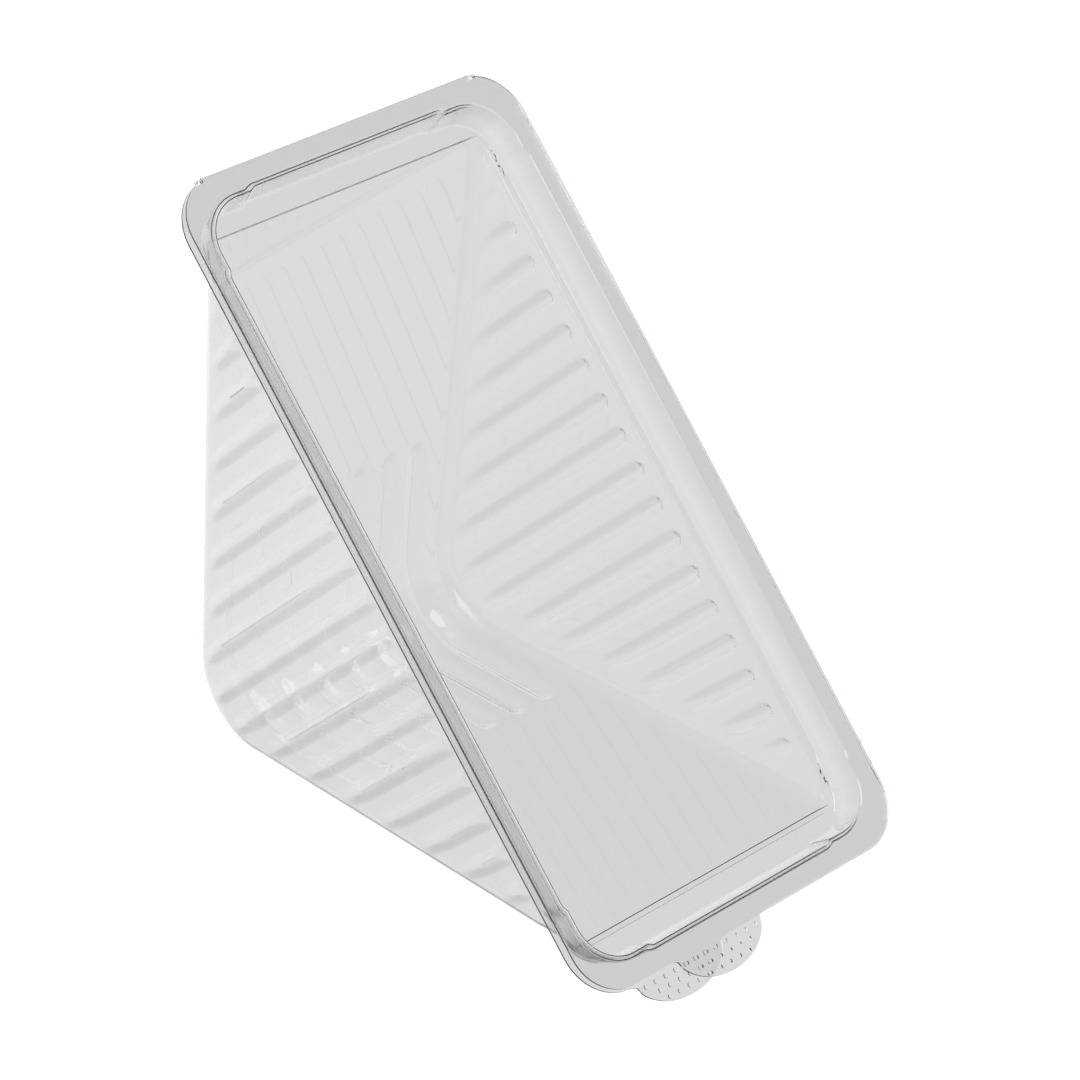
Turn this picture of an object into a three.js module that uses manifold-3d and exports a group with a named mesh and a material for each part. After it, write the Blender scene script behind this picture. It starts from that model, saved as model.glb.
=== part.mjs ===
import * as THREE from 'three';
import { mergeVertices } from 'three/addons/utils/BufferGeometryUtils.js';
import Module from 'manifold-3d';

const wasm = await Module();
wasm.setup();

// A hinged wedge pack formed from clear sheet: a tray with two legs meeting at a rounded heel,
// and a lid that plugs into the tray's sloping rim.
//
// Everything is shaped in the rim's own frame, in millimetres: u runs down the slope from the
// hinge edge to the front edge, v across the width, w outward from the rim. The flange's top
// is w = 0. At the end the pack is turned to stand on its heel and its opening tab.

// ---- Driving dimensions ----

const sheet = 0.6;              // thickness of the formed sheet
const gap = 0.3;                // clearance between tray and lid

const packLength = 190;         // hinge edge to front edge, along the slope
const packWidth = 96;
const cornerRadius = 12;

const flangeWidth = 5.5;        // flat border outside the recess
const rimDepth = 8;             // recess that takes the lid's plug
const rimCornerRadius = 11;
const lockBulge = 0.7;          // the rim's straight runs stand out to grip the plug
const lockFromCorner = 15.5;
const lockRamp = 1.6;
const lidInset = 0.8;           // the lid's border stops this far inside the tray's

const ledgeAtHinge = 12;        // outer edge to the leg wall, at each end
const ledgeAtFront = 11.5;
const ledgeAtSide = 8.8;        // outer edge to the side wall
const legAngle = 48 * Math.PI / 180;  // each leg wall against the rim
const heelRadius = 17.4;        // inside the tray
const wallCornerRadius = 3.4;   // inside the tray, side wall to leg wall
const sideDraft = 0.022;        // side wall slope, mm per mm of depth

const sideRibCount = 17;
const sideRibPitch = 8.6;
const sideRibCentre = -1.7;     // middle of the row, along u
const sideRibHalfWidth = 2.7;
const sideRibHeight = 1.5;
const sideRibTop = 3.2;         // first point of a rib, below the ledge
const sideRibDome = 2.6;        // length of a rib's rounded top end

const heelRibCount = 7;
const heelRibPitch = 8.9;
const heelRibHalfWidth = 2.3;
const heelRibHeight = 1.3;
const heelRibStart = 76;        // distance down each leg where the heel ribs begin
const heelRibRamp = 3.5;
const heelRibRoot = 1.5;        // how far a rib's solid reaches into its wall

const hingeHalfLength = 38;     // straight fold at the top edge
const hingeNotchWidth = 1.4;
const hingeNotchDepth = 0.9;

const tabHalfWidth = 12.1;
const tabReach = 7.3;
const trayTabCentre = -23;
const lidTabCentre = -11.3;
const pipRadius = 0.5;
const pipHeight = 0.3;
const pipPitch = 2.9;
const pipRowPitch = 2.5;
const pipFromEdge = 2.2;        // first row, out from the border's front edge
const pipMargin = 1.6;          // last pip of a row to the tab's edge

// ---- Sizes that follow ----

const halfLength = packLength / 2;
const halfWidth = packWidth / 2;
const bodyHalfWidth = halfWidth - ledgeAtSide;
const ledgeHinge = -halfLength + ledgeAtHinge;
const ledgeFront = halfLength - ledgeAtFront;
const heelU = (ledgeHinge + ledgeFront) / 2;
const heelSharp = -rimDepth - (ledgeFront - ledgeHinge) / 2 * Math.tan(legAngle);
const heelCentre = new THREE.Vector2(heelU, heelSharp + heelRadius / Math.cos(legAngle));
const cavityTop = wallCornerRadius + sheet;   // the body's cutter passes right out of the rim
const belowAll = heelSharp - heelRadius;
const heelSteps = 4;            // facets of a heel rib, from its lowest point up to each leg

// ---- Solids from closed geometry ----

const toSolid = (geometry) => {
  const bare = new THREE.BufferGeometry();
  bare.setAttribute('position', geometry.getAttribute('position').clone());
  if (geometry.index) bare.setIndex(geometry.index.clone());
  const merged = mergeVertices(bare, 1e-5);
  return new wasm.Manifold(new wasm.Mesh({
    numProp: 3,
    vertProperties: new Float32Array(merged.getAttribute('position').array),
    triVerts: new Uint32Array(merged.index.array),
  }));
};

const union = (solids) => solids.reduce((sum, next) => sum.add(next));

// A flat outline carried from one height to another.
const slab = (shape, from, to) => {
  const geometry = new THREE.ExtrudeGeometry(shape, {
    depth: to - from, bevelEnabled: false, curveSegments: 6,
  });
  return toSolid(geometry.translate(0, 0, from));
};

// A skin over rings of equal count, closed by a fan at each end.
const loft = (rings) => {
  const count = rings[0].length;
  const points = rings.flat();
  const faces = [];
  for (let r = 0; r + 1 < rings.length; r += 1) {
    for (let i = 0; i < count; i += 1) {
      const a = r * count + i;
      const b = r * count + (i + 1) % count;
      faces.push(a, b, b + count, a, b + count, a + count);
    }
  }
  const last = (rings.length - 1) * count;
  for (let i = 1; i + 1 < count; i += 1) {
    faces.push(0, i + 1, i, last, last + i, last + i + 1);
  }
  const volume = faces.reduce((sum, _, i) => (i % 3 ? sum
    : sum + points[faces[i]].dot(points[faces[i + 1]].clone().cross(points[faces[i + 2]]))), 0);
  if (volume < 0) faces.reverse();
  return new THREE.BufferGeometry().setFromPoints(points).setIndex(faces);
};

// ---- Outlines seen square to the rim ----

const roundedOutline = (inset, radius, insetAtHinge = inset) => {
  const left = -halfLength + insetAtHinge;
  const right = halfLength - inset;
  const side = halfWidth - inset;
  const shape = new THREE.Shape();
  shape.absarc(right - radius, side - radius, radius, 0, Math.PI / 2);
  shape.absarc(left + radius, side - radius, radius, Math.PI / 2, Math.PI);
  shape.absarc(left + radius, radius - side, radius, Math.PI, Math.PI * 1.5);
  shape.absarc(right - radius, radius - side, radius, Math.PI * 1.5, Math.PI * 2);
  return shape;
};

// The recess: each straight run steps outward between its two corners.
const rimOutline = (inset) => {
  const reachU = halfLength - inset;
  const reachV = halfWidth - inset;
  const radius = rimCornerRadius + flangeWidth - inset;
  const shape = new THREE.Shape();
  const corners = [[1, 1], [-1, 1], [-1, -1], [1, -1]];
  corners.forEach(([su, sv], i) => {
    const start = i * Math.PI / 2;
    shape.absarc(su * (reachU - radius), sv * (reachV - radius), radius, start, start + Math.PI / 2);
    const alongU = i % 2 === 0;
    const reach = alongU ? reachU : reachV;
    const wall = alongU ? reachV : reachU;
    const sign = alongU ? sv : su;
    const heading = alongU ? su : sv;
    const near = reach - lockFromCorner;
    const stations = [
      [near + lockRamp, 0], [near, lockBulge], [-near, lockBulge], [-near - lockRamp, 0],
    ];
    for (const [along, out] of stations) {
      const across = sign * (wall + out);
      if (alongU) shape.lineTo(heading * along, across);
      else shape.lineTo(across, heading * along);
    }
  });
  return shape;
};

const tabOutline = (centre, edge) => {
  const shape = new THREE.Shape();
  shape.moveTo(edge - cornerRadius / 2, centre - tabHalfWidth);
  shape.lineTo(edge, centre - tabHalfWidth);
  const reach = tabReach + halfLength - edge;
  shape.absellipse(edge, centre, reach, tabHalfWidth, -Math.PI / 2, Math.PI / 2);
  shape.lineTo(edge - cornerRadius / 2, centre + tabHalfWidth);
  return shape;
};

// ---- Border parts shared by tray and lid ----

const flange = (inset, from, tabCentre) => {
  const to = from + sheet;
  const border = slab(roundedOutline(inset, cornerRadius - inset, gap), from, to)
    .add(slab(tabOutline(tabCentre, halfLength - inset), from, to));
  const notches = [-1, 1].map((side) => {
    const notch = new THREE.BoxGeometry(hingeNotchDepth * 2, hingeNotchWidth, sheet * 4);
    notch.translate(-halfLength + gap, side * (hingeHalfLength + hingeNotchWidth / 2), from);
    return toSolid(notch);
  });
  return border.subtract(union(notches));
};

// Grip pips in staggered rows on a tab, rising in the given direction.
const gripPips = (tabCentre, surface, direction) => {
  const pips = [];
  const height = pipHeight + sheet / 2;
  for (let out = pipFromEdge; out < tabReach - pipMargin; out += pipRowPitch) {
    const spread = tabHalfWidth * Math.sqrt(1 - (out / tabReach) ** 2) - pipMargin;
    const count = Math.floor(2 * spread / pipPitch);
    for (let i = 0; i <= count; i += 1) {
      const pip = new THREE.CylinderGeometry(pipRadius * 0.3, pipRadius, height, 6);
      pip.rotateX(direction * Math.PI / 2);
      pip.translate(halfLength + out, tabCentre + (i - count / 2) * pipPitch,
        surface + direction * (pipHeight - height / 2));
      pips.push(toSolid(pip));
    }
  }
  return union(pips);
};

// ---- The tray's body: cavity when outset is 0, outer skin when outset is the sheet ----

const drafted = (geometry) => {
  const at = geometry.getAttribute('position');
  for (let i = 0; i < at.count; i += 1) {
    const depth = -rimDepth - at.getZ(i);
    at.setY(i, at.getY(i) * (1 - sideDraft * depth / bodyHalfWidth));
  }
  return geometry;
};

// Wedge section, legs and rounded heel, carried across the width with rounded ends.
const wedge = (outset, halfSpan) => {
  const shift = outset / Math.sin(legAngle);
  const section = new THREE.Shape();
  section.moveTo(ledgeHinge - shift, cavityTop);
  section.lineTo(ledgeHinge - shift, -rimDepth);
  section.absarc(heelCentre.x, heelCentre.y, heelRadius + outset,
    -Math.PI / 2 - legAngle, -Math.PI / 2 + legAngle);
  section.lineTo(ledgeFront + shift, -rimDepth);
  section.lineTo(ledgeFront + shift, cavityTop);
  const round = wallCornerRadius + outset;
  const geometry = new THREE.ExtrudeGeometry(section, {
    depth: 2 * (halfSpan - round), curveSegments: 6,
    bevelEnabled: true, bevelThickness: round, bevelSize: round, bevelOffset: -round, bevelSegments: 2,
  });
  geometry.translate(0, 0, round - halfSpan).rotateX(Math.PI / 2);
  return toSolid(drafted(geometry));
};

// Upright ribs pressed outward in both side walls, each with a rounded top end.
const sideRibs = (outset) => {
  const wall = bodyHalfWidth + outset;
  const halfRib = sideRibHalfWidth + (outset - sheet) * 0.7;
  const dome = [[0, 0.35], [0.35, 0.8], [1, 1]];
  const levels = dome.map(([share, size]) => (
    [-rimDepth - sideRibTop - share * sideRibDome + outset - sheet, size]));
  levels.push([belowAll, 1]);
  const ribs = [];
  for (const side of [-1, 1]) {
    for (let k = 0; k < sideRibCount; k += 1) {
      const centre = sideRibCentre + (k - (sideRibCount - 1) / 2) * sideRibPitch;
      const rings = levels.map(([w, size]) => {
        const ring = [];
        for (let i = 0; i <= 4; i += 1) {
          const turn = Math.PI * i / 4;
          ring.push(new THREE.Vector3(centre + halfRib * size * Math.cos(turn),
            side * (wall + sideRibHeight * size * Math.sin(turn)), w));
        }
        ring.push(new THREE.Vector3(centre - halfRib * size, side * (wall - wallCornerRadius), w));
        ring.push(new THREE.Vector3(centre + halfRib * size, side * (wall - wallCornerRadius), w));
        return ring;
      });
      ribs.push(toSolid(drafted(loft(rings))));
    }
  }
  return union(ribs).intersect(wedge(outset, wall + sideRibHeight));
};

// Ribs pressed outward round the heel, running a little way up both legs.
const heelRibs = (outset) => {
  const legLength = (ledgeFront - ledgeHinge) / 2 / Math.cos(legAngle);
  const straight = legLength - heelRadius * Math.tan(legAngle);
  const path = [];
  const down = [heelRibStart, heelRibStart + heelRibRamp * 0.3, heelRibStart + heelRibRamp];
  const sizes = [0.2, 0.7, 1];
  const leg = (side) => down.map((s, i) => (
    { turn: side * legAngle, back: straight - s, size: sizes[i] }));
  path.push(...leg(-1));
  for (let i = -heelSteps; i <= heelSteps; i += 1) {
    path.push({ turn: legAngle * i / heelSteps, back: 0, size: 1 });
  }
  path.push(...leg(1).reverse());
  const halfRib = heelRibHalfWidth + (outset - sheet) * 0.7;
  const ribs = [];
  for (let k = 0; k < heelRibCount; k += 1) {
    const centre = (k - (heelRibCount - 1) / 2) * heelRibPitch;
    const rings = path.map(({ turn, back, size }) => {
      const out = new THREE.Vector2(Math.sin(turn), -Math.cos(turn));
      const along = new THREE.Vector2(Math.cos(turn), Math.sin(turn));
      along.multiplyScalar(Math.sign(turn) * back);
      const point = (rise, v) => {
        const at = heelCentre.clone().addScaledVector(out, heelRadius + outset + rise).add(along);
        return new THREE.Vector3(at.x, v, at.y);
      };
      const ring = [];
      for (let i = 0; i <= 4; i += 1) {
        const angle = Math.PI * i / 4;
        ring.push(point(heelRibHeight * size * Math.sin(angle), centre + halfRib * size * Math.cos(angle)));
      }
      ring.push(point(-heelRibRoot, centre - halfRib * size), point(-heelRibRoot, centre + halfRib * size));
      return ring;
    });
    ribs.push(toSolid(loft(rings)));
  }
  return union(ribs);
};

const body = (outset) => wedge(outset, bodyHalfWidth + outset).add(sideRibs(outset)).add(heelRibs(outset));

// ---- Tray and lid ----

const tray = flange(0, -sheet, trayTabCentre)
  .add(slab(rimOutline(flangeWidth - sheet), -rimDepth - sheet, -sheet / 2))
  .add(body(sheet))
  .add(gripPips(trayTabCentre, -sheet, -1))
  .subtract(slab(rimOutline(flangeWidth), -rimDepth, cavityTop + 1))
  .subtract(body(0));

const lidBottom = gap;
const plugInset = flangeWidth + gap;
const lid = flange(lidInset, lidBottom, lidTabCentre)
  .add(slab(rimOutline(plugInset), gap - rimDepth, lidBottom + sheet / 2))
  .add(gripPips(lidTabCentre, lidBottom + sheet, 1))
  .subtract(slab(rimOutline(plugInset + sheet), gap - rimDepth + sheet, lidBottom + 2 * sheet));

// ---- Standing pose: the ground touches the heel ribs and the tray's tab ----

const tabTip = new THREE.Vector2(halfLength + tabReach, -sheet);
const footRadius = heelRadius + sheet + heelRibHeight;
const reach = tabTip.clone().sub(heelCentre);
const lean = reach.angle() + Math.asin(footRadius / reach.length());
const standing = new THREE.Matrix4().makeBasis(
  new THREE.Vector3(0, -Math.cos(lean), -Math.sin(lean)),
  new THREE.Vector3(1, 0, 0),
  new THREE.Vector3(0, -Math.sin(lean), Math.cos(lean)),
);
const tip = new THREE.Vector3(tabTip.x, 0, tabTip.y).applyMatrix4(standing);
standing.premultiply(new THREE.Matrix4().makeTranslation(0, 0, -tip.z));

const toMesh = (name, solid, material) => {
  const made = solid.getMesh();
  const geometry = new THREE.BufferGeometry();
  geometry.setAttribute('position', new THREE.BufferAttribute(new Float32Array(made.vertProperties), 3));
  geometry.setIndex(new THREE.BufferAttribute(new Uint32Array(made.triVerts), 1));
  geometry.applyMatrix4(standing);
  geometry.computeVertexNormals();
  const mesh = new THREE.Mesh(geometry, material);
  mesh.name = name;
  return mesh;
};

const clearSheet = () => new THREE.MeshStandardMaterial({
  color: 0xe9eced, roughness: 0.08, metalness: 0, transparent: true, opacity: 0.35,
});

const pack = new THREE.Group();
pack.name = 'sandwich_wedge_pack';
pack.add(toMesh('tray', tray, clearSheet()), toMesh('lid', lid, clearSheet()));

const middle = new THREE.Box3().setFromObject(pack).getCenter(new THREE.Vector3());
pack.children.forEach((mesh) => mesh.geometry.translate(0, -middle.y, 0));

export default pack;
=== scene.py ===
import math

import bmesh
import bpy
import numpy as np
from mathutils import Matrix, Vector
from mathutils.geometry import delaunay_2d_cdt


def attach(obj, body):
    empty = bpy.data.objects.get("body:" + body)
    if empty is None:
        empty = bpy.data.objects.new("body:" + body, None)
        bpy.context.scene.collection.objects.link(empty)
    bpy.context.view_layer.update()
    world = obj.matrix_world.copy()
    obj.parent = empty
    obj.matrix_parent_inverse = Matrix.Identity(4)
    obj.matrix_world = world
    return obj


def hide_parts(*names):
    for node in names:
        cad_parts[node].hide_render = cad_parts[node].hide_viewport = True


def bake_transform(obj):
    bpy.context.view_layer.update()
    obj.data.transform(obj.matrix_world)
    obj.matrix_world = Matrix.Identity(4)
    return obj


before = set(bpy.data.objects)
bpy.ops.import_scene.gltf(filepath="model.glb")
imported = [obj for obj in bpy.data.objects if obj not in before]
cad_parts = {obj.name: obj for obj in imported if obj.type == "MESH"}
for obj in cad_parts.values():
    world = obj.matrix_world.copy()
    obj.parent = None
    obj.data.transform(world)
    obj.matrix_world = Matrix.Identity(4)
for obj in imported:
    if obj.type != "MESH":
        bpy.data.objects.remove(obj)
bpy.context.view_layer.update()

# Sizes in millimetres, in the rim's own frame: u down the slope from the hinge edge, v across
# the width, w outward from the rim. The tray border's top is w = 0.

SHEET, HEEL_STAND = 0.6, 1.3  # the solids' sheet and heel rib, which set how the pack stands
CLEAR_SHEET = 0.42     # as drawn here
GAP = 0.3              # between tray and lid
HALF_LENGTH, HALF_WIDTH = 95.0, 48.0
CORNER_RADIUS = 12.0
FLANGE_WIDTH = 5.5
RIM_DEPTH = 8.0
RIM_CORNER_RADIUS = 11.0
RIM_DRAFT = 1.3        # the rim's wall leans in by this much over its depth
LOCK_BULGE, LOCK_FROM_CORNER, LOCK_RAMP = 0.7, 15.5, 1.6
LID_SIDE_INSET, LID_FRONT_INSET = 1.25, 0.5
LEDGE_HINGE, LEDGE_FRONT = -83.0, 83.5
FOLD_STEP, FOLD_RUN, FOLD_FADE = 0.28, 0.1, 20.0  # the sharp drop at the folds between ledge and leg
SECOND_FOLD = 1.2      # at the front the drop comes this far down the leg, after the fold
FOLD_EASE = 0.14       # how softly the leg itself sets off
BODY_HALF_WIDTH = 39.2
MOUTH_RADIUS = 1.2     # ledge to side wall
LEG_ANGLE = math.radians(48)
HEEL_RADIUS = 17.4
WALL_CORNER = 3.4
SIDE_DRAFT = 0.022
SIDE_RIB_COUNT, SIDE_RIB_PITCH, SIDE_RIB_CENTRE = 17, 8.6, -1.7
SIDE_RIB_HALF, SIDE_RIB_HEIGHT, SIDE_RIB_TOP = 2.7, 1.7, 2.8
SIDE_RIB_DOME = 0.7    # a rib's top end is this much less steep than its flanks
SIDE_RIB_START, SIDE_RIB_FADE = 1.5, 8.5  # where a rib sets off from the leg, and how slowly it rises
HEEL_RIB_COUNT, HEEL_RIB_PITCH = 7, 8.9
HEEL_RIB_HALF, HEEL_RIB_HEIGHT, HEEL_RIB_START = 2.9, 1.25, 75.0
HINGE_HALF, NOTCH_WIDTH, NOTCH_DEPTH = 38.0, 1.4, 0.9
TAB_HALF, TAB_REACH = 12.1, 7.3
TRAY_TAB, LID_TAB = -23.0, -11.3
PIP_RADIUS, PIP_HEIGHT, PIP_PITCH = 0.45, 0.24, 2.9
PIP_ROWS, PIP_ROW_PITCH, PIP_FROM_EDGE, PIP_MARGIN = 3, 2.1, 1.2, 1.0
DEPTH_CENTRE = 9.1116  # middle of the whole depth, from the middle of the two contacts

TAN = math.tan(LEG_ANGLE)
HEEL_U = (LEDGE_HINGE + LEDGE_FRONT) / 2
HEEL_SHARP = -RIM_DEPTH - (LEDGE_FRONT - LEDGE_HINGE) / 2 * TAN
HEEL_W = HEEL_SHARP + HEEL_RADIUS / math.cos(LEG_ANGLE)


def standing_frame():
    """Turns the rim's frame so that the ground touches the heel ribs and the tray's tab."""
    tip = np.array([HALF_LENGTH + TAB_REACH, -SHEET])
    heel = np.array([HEEL_U, HEEL_W])
    foot = HEEL_RADIUS + SHEET + HEEL_STAND
    reach = tip - heel
    lean = math.atan2(reach[1], reach[0]) + math.asin(foot / np.hypot(*reach))
    c, s = math.cos(lean), math.sin(lean)
    turn = np.array([[0, 1, 0], [-c, 0, -s], [-s, 0, c]])
    tip3 = turn @ [tip[0], 0, tip[1]]
    heel3 = turn @ [heel[0], 0, heel[1]]
    return turn, np.array([0, -(tip3[1] + heel3[1]) / 2 - DEPTH_CENTRE, -tip3[2]])


TURN, SHIFT = standing_frame()


def to_world(points):
    """Points of the rim's frame, in metres where the CAD has them."""
    return (np.asarray(points, float) @ TURN.T + SHIFT) / 1000


# ---- Meshes ----

WELD = 4e-6  # metres


class Skin:
    """Vertices and faces of one open sheet, gathered patch by patch."""

    def __init__(self):
        self.points, self.faces = [], []

    def grid(self, rows):
        rows = np.asarray(rows, float)
        count, width = rows.shape[:2]
        start = len(self.points)
        self.points.extend(rows.reshape(-1, 3))
        for i in range(count - 1):
            for j in range(width - 1):
                a = start + i * width + j
                self.faces.append((a, a + 1, a + width + 1, a + width))

    def triangles(self, points, faces):
        start = len(self.points)
        self.points.extend(points)
        self.faces.extend(tuple(start + k for k in face) for face in faces)


def new_piece(name, points, faces):
    """An object with its points welded and its faces turned one way, outward where it is closed."""
    mesh = bpy.data.meshes.new(name)
    mesh.from_pydata(to_world(points).tolist(), [], faces)
    bm = bmesh.new()
    bm.from_mesh(mesh)
    bmesh.ops.remove_doubles(bm, verts=bm.verts, dist=WELD)
    bmesh.ops.recalc_face_normals(bm, faces=bm.faces)
    bm.to_mesh(mesh)
    bm.free()
    piece = bpy.data.objects.new(name, mesh)
    bpy.context.scene.collection.objects.link(piece)
    return piece


def smooth(mesh, sharp):
    mesh.shade_smooth()
    mesh.set_sharp_from_angle(angle=math.radians(sharp))


def thicken(name, skin):
    """A closed piece: the skin turned to face the rim's outside, and given the sheet's thickness below it."""
    piece = new_piece(name, skin.points, skin.faces)
    out = Vector(TURN @ [0, 0, 1])
    if sum(face.normal.dot(out) * face.area for face in piece.data.polygons) < 0:
        piece.data.flip_normals()
    solidify = piece.modifiers.new("sheet", "SOLIDIFY")
    solidify.thickness = CLEAR_SHEET / 1000
    solidify.offset = -1
    graph = bpy.context.evaluated_depsgraph_get()
    solid = bpy.data.meshes.new_from_object(piece.evaluated_get(graph))
    piece.modifiers.clear()
    piece.data = solid
    solid.name = name
    smooth(solid, 35)
    return piece


# ---- Outlines square to the rim, one quarter turn per corner ----


def ease(t):
    """A smooth step from 0 to 1."""
    t = np.clip(t, 0, 1)
    return t * t * (3 - 2 * t)


def side_points(inset, radius, shares, long_side):
    """Points along one side, from mid-corner to mid-corner, as (along, across), with its lock step."""
    reach = (HALF_LENGTH if long_side else HALF_WIDTH) - inset
    wall = (HALF_WIDTH if long_side else HALF_LENGTH) - inset
    arc = radius * math.pi / 4
    straight = 2 * (reach - radius)
    at = np.asarray(shares) * (2 * arc + straight)
    first = at < arc
    last = at > arc + straight
    along = at - arc - straight / 2
    across = np.full(len(at), wall, float)
    turn = (arc - at[first]) / radius
    along[first] = -(reach - radius) - radius * np.sin(turn)
    across[first] = wall - radius * (1 - np.cos(turn))
    turn = (at[last] - arc - straight) / radius
    along[last] = reach - radius + radius * np.sin(turn)
    across[last] = wall - radius * (1 - np.cos(turn))
    from_corner = reach - np.abs(along)
    across += LOCK_BULGE * ease((from_corner - LOCK_FROM_CORNER + LOCK_RAMP) / LOCK_RAMP)
    return along, across


def loop(inset, w, long_shares, short_shares):
    """A closed ring of points at one inset and height, clockwise seen from outside."""
    radius = RIM_CORNER_RADIUS + FLANGE_WIDTH - inset
    a, b = side_points(inset, radius, long_shares, True)
    c, d = side_points(inset, radius, short_shares, False)
    sides = [(a, b), (d, -c), (-a, -b), (-d, c)]
    ring = np.concatenate([np.stack([u[:-1], v[:-1]], 1) for u, v in sides])
    ring = np.vstack([ring, ring[:1]])
    return np.column_stack([ring, np.full(len(ring), w)])


def rounded(path, radii, steps=6):
    """An (inset, w) path with each inner corner replaced by an arc."""
    path = np.array(path, float)
    points = [path[0]]
    for before, corner, after, radius in zip(path, path[1:], path[2:], radii):
        back, on = before - corner, after - corner
        back, on = back / np.hypot(*back), on / np.hypot(*on)
        half = math.acos(np.clip(back @ on, -1, 1)) / 2
        middle = back + on
        centre = corner + middle / np.hypot(*middle) * radius / math.sin(half)
        start = corner + back * radius / math.tan(half) - centre
        end = corner + on * radius / math.tan(half) - centre
        sweep = math.pi - 2 * half
        for k in range(steps + 1):
            t = k / steps
            arm = start * math.sin((1 - t) * sweep) + end * math.sin(t * sweep)
            points.append(centre + arm / math.sin(sweep))
    points.append(path[-1])
    return points


def border_outline(side_inset, front_inset, tab):
    """The border's outer edge with its tab, hinge edge set back by the gap, and the fold's two notches."""
    radius = CORNER_RADIUS - side_inset
    side, front, back = HALF_WIDTH - side_inset, HALF_LENGTH - front_inset, -HALF_LENGTH + GAP
    points = []

    def corner(cu, cv, start):
        for k in range(17):
            turn = math.radians(start + 90 * k / 16)
            points.append((cu + radius * math.cos(turn), cv + radius * math.sin(turn)))

    def tab_edge():
        root = 2.4
        for k in range(57):
            v = (TAB_HALF + root) * math.sin(math.pi * (k / 56 - 0.5))
            out = (HALF_LENGTH + TAB_REACH - front) * math.sqrt(max(0.0, 1 - (v / TAB_HALF) ** 2))
            foot = 0.3 * root * max(0.0, 1 - abs(abs(v) - TAB_HALF) / root) ** 2
            points.append((front + out + foot, tab + v))

    corner(front - radius, -side + radius, -90)
    tab_edge()
    corner(front - radius, side - radius, 0)
    corner(back + radius, side - radius, 90)
    notch = [(HINGE_HALF + NOTCH_WIDTH, 0), (HINGE_HALF + NOTCH_WIDTH, NOTCH_DEPTH),
             (HINGE_HALF, NOTCH_DEPTH), (HINGE_HALF, 0)]
    points += [(back + depth, v) for v, depth in notch]
    points += [(back + depth, -v) for v, depth in reversed(notch)]
    corner(back + radius, -side + radius, 180)
    return np.array(points)


def inside(points, polygon):
    """Which points lie inside the polygon, by counting the edges they cross."""
    x, y = points[:, 0], points[:, 1]
    result = np.zeros(len(points), bool)
    for (x0, y0), (x1, y1) in zip(polygon, np.roll(polygon, -1, 0)):
        crosses = (y0 > y) != (y1 > y)
        with np.errstate(divide="ignore", invalid="ignore"):
            result ^= crosses & (x < (x1 - x0) * (y - y0) / (y1 - y0) + x0)
    return result


def pip_field(tab):
    """Centres of the grip pips, in staggered rows on the tab."""
    centres = []
    for row in range(PIP_ROWS):
        out = PIP_FROM_EDGE + row * PIP_ROW_PITCH
        spread = TAB_HALF * math.sqrt(1 - (out / TAB_REACH) ** 2) - PIP_MARGIN
        count = int(2 * spread / PIP_PITCH)
        shift = 0.5 * (row % 2)
        for k in range(count + 1 - (row % 2)):
            centres.append((HALF_LENGTH + out, tab + (k + shift - count / 2) * PIP_PITCH))
    return centres


def border(skin, inner, outer, w, tab, direction):
    """The flat border between the rim's ring and the outer edge, with pips raised on its tab."""
    inner = inner[:-1, :2]
    points = [tuple(p) for p in np.vstack([inner, outer])]
    n, m = len(inner), len(outer)
    edges = [(i, (i + 1) % n) for i in range(n)] + [(n + i, n + (i + 1) % m) for i in range(m)]
    lift = {}
    for cu, cv in pip_field(tab):
        for size, high in ((1.0, 0.0), (0.72, 0.5), (0.36, 0.93), (0.0, 1.0)):
            reach = PIP_RADIUS * size
            for k in range(10 if size else 1):
                turn = math.tau * k / 10
                lift[len(points)] = high * PIP_HEIGHT * direction
                points.append((cu + reach * math.cos(turn), cv + reach * math.sin(turn)))
    made, _, faces, source, _, _ = delaunay_2d_cdt([Vector(p) for p in points], edges, [], 0, 1e-6, True)
    flat = np.array([(p.x, p.y) for p in made])
    heights = np.array([w + max((lift.get(k, 0.0) for k in group), key=abs, default=0.0) for group in source])
    faces = np.array([f for f in faces if len(f) == 3])
    middle = flat[faces].mean(1)
    keep = inside(middle, outer) & ~inside(middle, inner)
    skin.triangles(np.column_stack([flat, heights]), faces[keep].tolist())


# ---- Tray ----


def swell(q):
    """A soft rise, 1 at the middle and level where it meets the sheet."""
    return 0.5 + 0.5 * np.cos(math.pi * np.clip(q, 0, 1))


def depth_at(u):
    """Depth of the wedge below the ledge, and the leg's slope there."""
    left, right = (u - LEDGE_HINGE) * TAN, (LEDGE_FRONT - u) * TAN
    depth = np.minimum(left, right)
    slope = np.where(left < right, 1.0, -1.0) * TAN
    arc = np.abs(u - HEEL_U) < HEEL_RADIUS * math.sin(LEG_ANGLE)
    du = np.clip(u - HEEL_U, -HEEL_RADIUS, HEEL_RADIUS)
    round_w = HEEL_W - np.sqrt(HEEL_RADIUS ** 2 - du ** 2)
    depth = np.where(arc, -RIM_DEPTH - round_w, depth)
    slope = np.where(arc, -du / np.sqrt(np.maximum(HEEL_RADIUS ** 2 - du ** 2, 1e-6)), slope)
    soft = FOLD_EASE
    eased = np.where(depth > soft, depth, np.where(depth < -soft, 0.0, (depth + soft) ** 2 / (4 * soft)))
    past = np.minimum(u - LEDGE_HINGE, LEDGE_FRONT - SECOND_FOLD - u)
    step = FOLD_STEP * np.clip(0.5 + past / FOLD_RUN, 0, 1) * np.clip(1 - depth / FOLD_FADE, 0, 1)
    return eased + step, slope


def from_nearest(at, pitch, count):
    """How far a place is from the nearest of a row of ribs centred on 0."""
    return at - np.clip(np.round(at / pitch), -(count // 2), count // 2) * pitch


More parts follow.
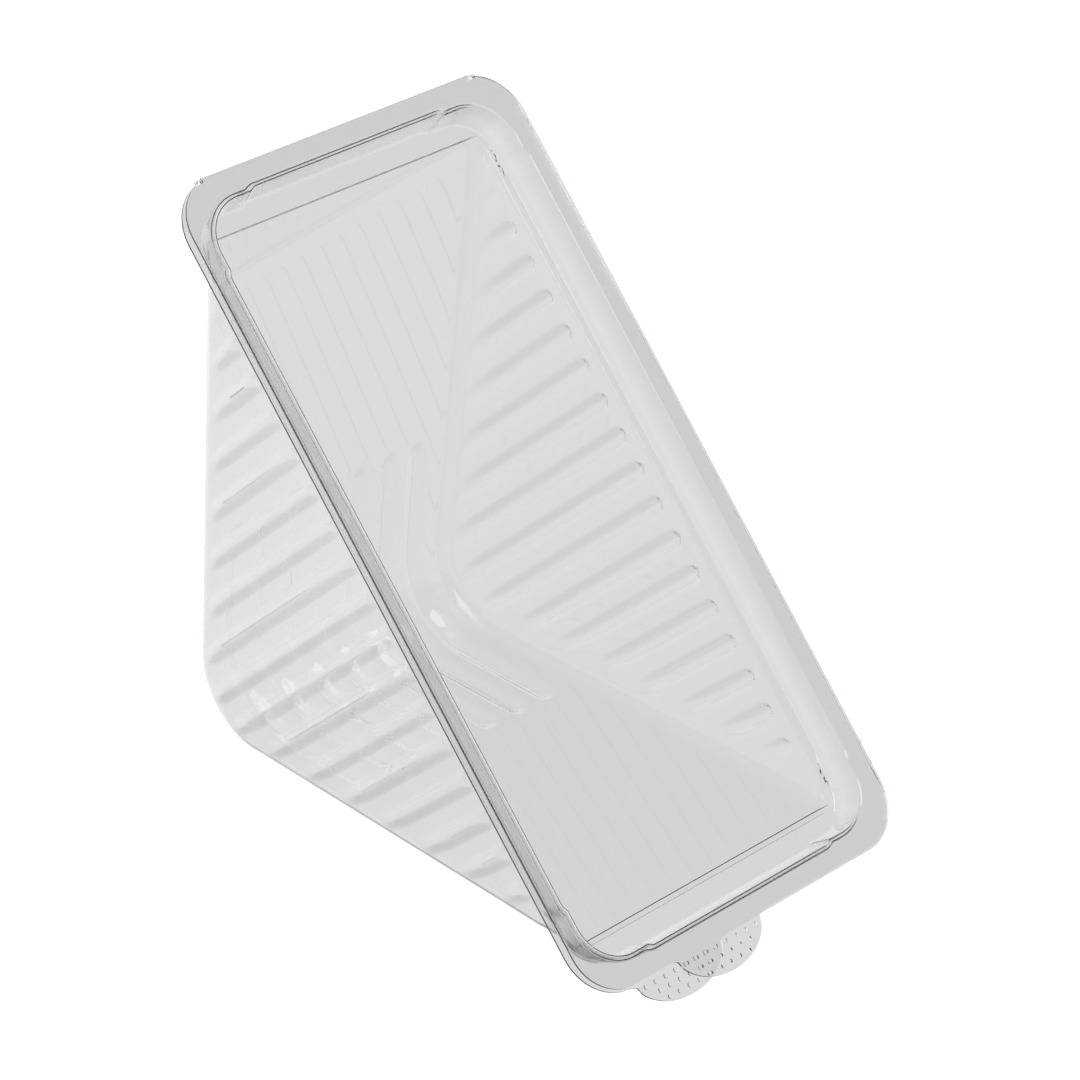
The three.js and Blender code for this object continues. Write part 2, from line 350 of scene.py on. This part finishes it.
def side_rib(u, depth, to_leg):
    """How far a side wall's rib stands out, at a depth below the ledge and a distance from the leg."""
    du = from_nearest(u - SIDE_RIB_CENTRE, SIDE_RIB_PITCH, SIDE_RIB_COUNT)
    above = SIDE_RIB_DOME * np.maximum(0, SIDE_RIB_TOP + SIDE_RIB_HALF / SIDE_RIB_DOME - depth)
    rise = ease((to_leg - SIDE_RIB_START) / SIDE_RIB_FADE)
    return SIDE_RIB_HEIGHT * rise * swell(np.hypot(du, above) / SIDE_RIB_HALF)


def heel_rib(u, v):
    """How far a heel rib stands out: the ribs run round the heel and end on each leg."""
    dv = from_nearest(v, HEEL_RIB_PITCH, HEEL_RIB_COUNT)
    end = np.where(u < HEEL_U, u - LEDGE_HINGE, LEDGE_FRONT - u) / math.cos(LEG_ANGLE)
    short = np.maximum(0, HEEL_RIB_START + HEEL_RIB_HALF - end)
    return HEEL_RIB_HEIGHT * swell(np.hypot(dv, short) / HEEL_RIB_HALF)


# Rows of a column, in mm below the mouth and above the corner at full depth
UPPER_ROWS = np.array([1.0, 1.6, 2.2, 2.8, 3.4, 4.0, 4.7, 5.4])
LOWER_ROWS = np.array([13.0, 10.5, 8.2, 6.0, 4.0, 2.0, 0.0])
LEAST_SPAN = 22.0  # shorter columns keep the rows' shares of this


def body_column(u, depth, slope):
    """One cross-section of the wedge: ledge, wall, rounded corner, leg, and the same back up."""
    size = np.clip(depth / 10, 0, 1)
    steep = math.sqrt(1 + slope ** 2)
    top = min(MOUTH_RADIUS, 0.3 * depth)
    low = min(WALL_CORNER * steep, 0.6 * depth)
    spread = 0.12 * (1 - size)
    v, d, rib = [BODY_HALF_WIDTH + 1.5, BODY_HALF_WIDTH + 1.25], [0.0, 0.0], [0.0, 0.0]
    for turn in np.radians([12, 38, 64, 90]):
        v.append(BODY_HALF_WIDTH + MOUTH_RADIUS * (1 - math.sin(turn)))
        d.append(top * (1 - math.cos(turn)))
        rib.append(0.0)
    span = depth - low - top
    first = UPPER_ROWS / max(span, LEAST_SPAN)
    last = 1 - LOWER_ROWS / max(span, LEAST_SPAN)
    for k, t in enumerate(np.concatenate([first, np.linspace(first[-1], last[0], 4)[1:-1], last])):
        here = top + span * t
        v.append(BODY_HALF_WIDTH - SIDE_DRAFT * here - 0.6 * spread * (k + 1))
        d.append(here)
        rib.append(1.0)
    base_v = v[-1]
    for turn in np.radians([18, 36, 54, 72, 90]):
        v.append(base_v - WALL_CORNER * (1 - math.cos(turn)))
        d.append(depth - low + low * math.sin(turn))
        rib.append(math.cos(turn) ** 0.7 if turn < 1.57 else 0.0)
    v, d, rib = np.array(v), np.array(d), np.array(rib)
    v = v + rib * side_rib(u, d, (depth - d) / steep) * size
    inner = np.linspace(v[-1], -v[-1], 64)[1:-1]
    bottom = depth + heel_rib(u, inner) * steep * size
    vs = np.concatenate([v, inner, -v[::-1]])
    ws = -RIM_DEPTH - np.concatenate([d, bottom, d[::-1]])
    return np.column_stack([np.full(len(vs), u), vs, ws])


def keep_off_corners(points):
    """Draws the wedge's mouth in where it would run past the rim's rounded corners."""
    radius = RIM_CORNER_RADIUS - 1
    centre = np.array([HALF_LENGTH, HALF_WIDTH]) - FLANGE_WIDTH - RIM_CORNER_RADIUS
    start, end = radius - 2.0, radius - 1.1
    out = np.abs(points[..., :2]) - centre
    far = np.hypot(out[..., 0], out[..., 1])
    drawn = start + (end - start) * np.tanh((far - start) / (end - start))
    share = np.where((out > 0).all(-1) & (far > start), drawn / np.maximum(far, 1e-6), 1.0)
    result = points.copy()
    result[..., :2] = np.sign(points[..., :2]) * (centre + out * share[..., None])
    return np.where((share < 1)[..., None], result, points)


def tray_skin():
    """The tray's upper face: the wedge, the rim's wall round it, and the border."""
    skin = Skin()
    ends = np.array([1.5, 0.9, 0.4, 0.15, 0.07, 0.03, -0.03, -0.07, -0.15, -0.4])
    second = LEDGE_FRONT - SECOND_FOLD + ends[3:8]
    us = np.concatenate([LEDGE_HINGE - ends, np.linspace(LEDGE_HINGE + 0.9, LEDGE_FRONT - 1.8, 275),
                         second[::-1], (LEDGE_FRONT + ends)[::-1]])
    depths, slopes = depth_at(us)
    body = keep_off_corners(np.array([body_column(u, d, s) for u, d, s in zip(us, depths, slopes)]))
    skin.grid(body)
    edge = np.concatenate([body[:-1, 0], body[-1, :-1], body[:0:-1, -1], body[0, ::-1]])
    long_shares = (us - us[0]) / (us[-1] - us[0])
    across = body_column(us[-1], 0.0, 0.0)[:, 1]
    short_shares = (across[0] - across) / (across[0] - across[-1])
    rows = [edge]
    foot = FLANGE_WIDTH + RIM_DRAFT
    path = [(foot + 0.65, -RIM_DEPTH), (foot, -RIM_DEPTH), (FLANGE_WIDTH, 0), (FLANGE_WIDTH - 1.3, 0)]
    profile = rounded(path, (0.6, 0.9))
    for inset, w in profile[1:]:
        rows.append(loop(inset, w, long_shares, short_shares))
    skin.grid(rows)
    border(skin, rows[-1], border_outline(0.0, 0.0, TRAY_TAB), 0.0, TRAY_TAB, -1)
    return skin


# ---- Lid ----


def lid_skin():
    """The lid's upper face: the recessed panel, the plug's wall round it, and the border."""
    skin = Skin()
    long_shares, short_shares = np.linspace(0, 1, 250), np.linspace(0, 1, 130)
    wall = FLANGE_WIDTH + GAP + CLEAR_SHEET
    foot = wall + RIM_DRAFT
    top = GAP + CLEAR_SHEET
    floor = top - RIM_DEPTH
    profile = rounded([(foot + 1.2, floor), (foot, floor), (wall, top), (wall - 1.6, top)], (0.6, 1.1))
    rows = [loop(inset, w, long_shares, short_shares) for inset, w in profile]
    skin.grid(rows)
    border(skin, rows[-1], border_outline(LID_SIDE_INSET, LID_FRONT_INSET, LID_TAB), top, LID_TAB, 1)
    start = len(skin.points)
    skin.points.extend(rows[0][:-1])
    skin.faces.append(tuple(range(start, start + len(rows[0]) - 1)))
    return skin


# ---- Fold: the bend in the sheet that joins tray and lid ----

FOLD_U, FOLD_W = -HALF_LENGTH + GAP, GAP / 2
FOLD_OUT, FOLD_HALF = 0.3, 0.45


def fold_piece():
    """A half tube along the hinge edge, from its outer face, back along its inner one."""
    section = []
    for radius_u, radius_w, order in ((FOLD_OUT, FOLD_HALF, 1), (0.08, 0.2, -1)):
        for turn in np.radians(np.linspace(-90, 90, 9)[::order]):
            section.append((FOLD_U - radius_u * math.cos(turn), FOLD_W + radius_w * math.sin(turn)))
    stations = np.linspace(-HINGE_HALF + 0.1, HINGE_HALF - 0.1, 40)
    points = [(u, v, w) for v in stations for u, w in section]
    n = len(section)
    faces = [(k * n + i, k * n + (i + 1) % n, (k + 1) * n + (i + 1) % n, (k + 1) * n + i)
             for k in range(len(stations) - 1) for i in range(n)]
    faces += [tuple(range(n)), tuple((len(stations) - 1) * n + i for i in range(n))]
    piece = new_piece("fold", points, faces)
    smooth(piece.data, 40)
    return piece


# ---- Clear sheet ----

BORDER_TINT, PANEL_TINT = 0.92, 0.965  # the border keeps more of the sheet than what is drawn down from it
TINTED_DEPTH = 0.040                   # metres below the border
WAVINESS = 0.12


def ramp(nodes, stops):
    """A grey colour ramp, a touch cool, through the given (place, grey) stops."""
    node = nodes.new("ShaderNodeValToRGB")
    elements = node.color_ramp.elements
    elements[0].position, elements[1].position = stops[0][0], stops[-1][0]
    for at, _ in stops[1:-1]:
        elements.new(at)
    for element, (_, grey) in zip(elements, stops):
        element.color = (grey * 0.998, grey, grey * 1.001, 1)
    return node


def clear_sheet():
    """Clear formed plastic: paler where it is drawn thin, slightly wavy and hazy, with painted shade that
    darkens it edge-on far beyond what its longer path through the sheet gives.
    """
    material = bpy.data.materials.new("clear_sheet")
    material.use_nodes = True
    tree = material.node_tree
    nodes, links = tree.nodes, tree.links
    shader = nodes["Principled BSDF"]
    shader.inputs["Transmission Weight"].default_value = 1.0
    shader.inputs["IOR"].default_value = 1.45
    shader.inputs["Specular IOR Level"].default_value = 0.4

    place = nodes.new("ShaderNodeTexCoord")
    outward = nodes.new("ShaderNodeVectorMath")
    outward.operation = "DOT_PRODUCT"
    outward.inputs[1].default_value = TURN @ [0, 0, 1]
    height = nodes.new("ShaderNodeMapRange")
    border_level = float(TURN[:, 2] @ SHIFT) / 1000
    height.inputs["From Min"].default_value = border_level - TINTED_DEPTH
    height.inputs["From Max"].default_value = border_level + 0.001
    drawn = ramp(nodes, [(0.86, PANEL_TINT), (0.95, BORDER_TINT)])
    # Painted shade: the sheet's colour darkens as it turns edge-on to the view, a little for the longer path
    # through the sheet and mostly painted.
    facing = nodes.new("ShaderNodeLayerWeight")
    facing.inputs["Blend"].default_value = 0.42
    painted_edge_shade = ramp(nodes, [(0.7, 1.0), (0.87, 0.88), (1.0, 0.6)])
    tint = nodes.new("ShaderNodeMix")
    tint.data_type = "RGBA"
    tint.blend_type = "MULTIPLY"
    tint.inputs["Factor"].default_value = 1.0
    links.new(place.outputs["Object"], outward.inputs[0])
    links.new(outward.outputs["Value"], height.inputs["Value"])
    links.new(height.outputs["Result"], drawn.inputs["Fac"])
    links.new(facing.outputs["Facing"], painted_edge_shade.inputs["Fac"])
    links.new(drawn.outputs["Color"], tint.inputs[6])    # colour A
    links.new(painted_edge_shade.outputs["Color"], tint.inputs[7])  # colour B
    links.new(tint.outputs[2], shader.inputs["Base Color"])

    haze = nodes.new("ShaderNodeTexNoise")
    haze.inputs["Scale"].default_value = 22
    haze.inputs["Detail"].default_value = 1
    rough = nodes.new("ShaderNodeMapRange")
    rough.inputs["From Min"].default_value = 0.52
    rough.inputs["From Max"].default_value = 0.75
    rough.inputs["To Min"].default_value = 0.0
    rough.inputs["To Max"].default_value = 0.03
    links.new(place.outputs["Object"], haze.inputs["Vector"])
    links.new(haze.outputs["Fac"], rough.inputs["Value"])
    links.new(rough.outputs["Result"], shader.inputs["Roughness"])

    wave = nodes.new("ShaderNodeTexNoise")
    wave.inputs["Scale"].default_value = 30
    wave.inputs["Detail"].default_value = 0
    bump = nodes.new("ShaderNodeBump")
    bump.inputs["Strength"].default_value = WAVINESS
    bump.inputs["Distance"].default_value = 0.0006
    links.new(place.outputs["Object"], wave.inputs["Vector"])
    links.new(wave.outputs["Fac"], bump.inputs["Height"])
    links.new(bump.outputs["Normal"], shader.inputs["Normal"])

    # The floor is lit through the sheet
    light = nodes.new("ShaderNodeLightPath")
    lets = nodes.new("ShaderNodeMath")
    lets.operation = "MAXIMUM"
    through = nodes.new("ShaderNodeBsdfTransparent")
    through.inputs["Color"].default_value = (0.97, 0.97, 0.97, 1)
    mix = nodes.new("ShaderNodeMixShader")
    links.new(light.outputs["Is Shadow Ray"], lets.inputs[0])
    links.new(light.outputs["Is Diffuse Ray"], lets.inputs[1])
    links.new(lets.outputs["Value"], mix.inputs["Fac"])
    links.new(shader.outputs["BSDF"], mix.inputs[1])
    links.new(through.outputs["BSDF"], mix.inputs[2])
    links.new(mix.outputs["Shader"], nodes["Material Output"].inputs["Surface"])
    return material


tray = thicken("tray_sheet", tray_skin())
lid = thicken("lid_sheet", lid_skin())
fold = fold_piece()

sheet_material = clear_sheet()
for piece in (tray, lid, fold):
    piece.data.materials.clear()
    piece.data.materials.append(sheet_material)
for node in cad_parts.values():
    node.data.materials.clear()
    node.data.materials.append(sheet_material)

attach(tray, "tray")
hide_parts("tray")
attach(lid, "lid")
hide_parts("lid")
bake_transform(fold)


# ---- Stage ----


def by_ray(nodes, links, other, **values):
    """A number or a socket's value for each kind of ray named, the last one first, or else other."""
    light = nodes.new("ShaderNodeLightPath")
    result = None
    for kind, value in values.items():
        pick = nodes.new("ShaderNodeMix")
        pick.inputs["A"].default_value = other
        if isinstance(value, bpy.types.NodeSocket):
            links.new(value, pick.inputs["B"])
        else:
            pick.inputs["B"].default_value = value
        links.new(light.outputs[f"Is {kind.title()} Ray"], pick.inputs["Factor"])
        if result is not None:
            links.new(result, pick.inputs["A"])
        result = pick.outputs["Result"]
    return result


SEEN_THROUGH = 0.78  # the white background as it shows through the sheet
# What mirrors in the sheet, from straight below to straight above: bright round the horizon
ROOM = [(0.0, 0.22), (0.07, 0.28), (0.15, 0.85), (0.3, 1.0), (0.6, 1.0), (0.7, 0.35), (0.9, 0.3), (1.0, 0.5)]


def make_floor():
    """A white floor that keeps the shadow. What shows through or mirrors in the sheet is the world."""
    bpy.ops.mesh.primitive_plane_add(size=30)
    floor = bpy.context.object
    floor.name = "floor"
    material = bpy.data.materials.new("floor")
    material.use_nodes = True
    nodes, links = material.node_tree.nodes, material.node_tree.links
    shader = nodes["Principled BSDF"]
    shader.inputs["Base Color"].default_value = (0.9, 0.9, 0.9, 1)
    shader.inputs["Roughness"].default_value = 1.0
    shader.inputs["Specular IOR Level"].default_value = 0.0
    glow = nodes.new("ShaderNodeEmission")
    links.new(by_ray(nodes, links, 0.0, camera=0.3), glow.inputs["Strength"])
    add = nodes.new("ShaderNodeAddShader")
    links.new(shader.outputs["BSDF"], add.inputs[0])
    links.new(glow.outputs["Emission"], add.inputs[1])
    links.new(add.outputs["Shader"], nodes["Material Output"].inputs["Surface"])
    floor.visible_glossy = floor.visible_transmission = False
    floor.data.materials.append(material)


def make_world():
    """A white background, and the room that mirrors in the sheet."""
    world = bpy.data.worlds.new("studio")
    bpy.context.scene.world = world
    world.use_nodes = True
    world.cycles.sampling_method = "NONE"
    nodes, links = world.node_tree.nodes, world.node_tree.links
    background = nodes["Background"]
    background.inputs["Color"].default_value = (1, 1, 1, 1)
    place = nodes.new("ShaderNodeTexCoord")
    split = nodes.new("ShaderNodeSeparateXYZ")
    links.new(place.outputs["Generated"], split.inputs["Vector"])
    level = nodes.new("ShaderNodeMapRange")
    level.inputs["From Min"].default_value = -1.0
    links.new(split.outputs["Z"], level.inputs["Value"])
    room = ramp(nodes, ROOM)
    links.new(level.outputs["Result"], room.inputs["Fac"])
    light = nodes.new("ShaderNodeLightPath")
    through = nodes.new("ShaderNodeMix")
    through.inputs["A"].default_value = SEEN_THROUGH
    through.clamp_factor = True
    links.new(light.outputs["Glossy Depth"], through.inputs["Factor"])
    links.new(room.outputs["Color"], through.inputs["B"])
    strength = by_ray(nodes, links, 0.72, glossy=room.outputs["Color"],
                      transmission=through.outputs["Result"], camera=1.0)
    links.new(strength, background.inputs["Strength"])


def area_light(name, place, target, size, watts):
    data = bpy.data.lights.new(name, "AREA")
    data.shape = "RECTANGLE"
    data.size, data.size_y = size
    data.energy = watts
    lamp = bpy.data.objects.new(name, data)
    lamp.location = place
    lamp.rotation_euler = (Vector(target) - Vector(place)).to_track_quat("-Z", "Y").to_euler()
    bpy.context.scene.collection.objects.link(lamp)


def make_camera():
    """The camera fitted to the photograph: a long lens from the front left, looking down."""
    data = bpy.data.cameras.new("photo")
    data.sensor_width = 36
    data.lens = 141.596
    data.clip_end = 100
    camera = bpy.data.objects.new("photo", data)
    right, up, back = (Vector(axis) for axis in (
        (0.72019, -0.69283, 0.03626), (0.3488, 0.40677, 0.84432), (-0.59972, -0.59542, 0.53461)))
    turn = Matrix((right, up, back)).transposed().to_4x4()
    camera.matrix_world = Matrix.Translation((-0.54245, -0.53654, 0.55029)) @ turn
    bpy.context.scene.collection.objects.link(camera)
    bpy.context.scene.camera = camera


make_floor()
make_world()
area_light("key", (-0.5, -0.3, 1.1), (0, 0, 0.06), (0.9, 0.9), 6)
make_camera()

BOUNCES = 14  # enough to see through both walls and the lid

scene = bpy.context.scene
scene.view_settings.view_transform = "Standard"
scene.cycles.use_light_tree = False
for limit in ("max_bounces", "transmission_bounces", "transparent_max_bounces"):
    setattr(scene.cycles, limit, BOUNCES)
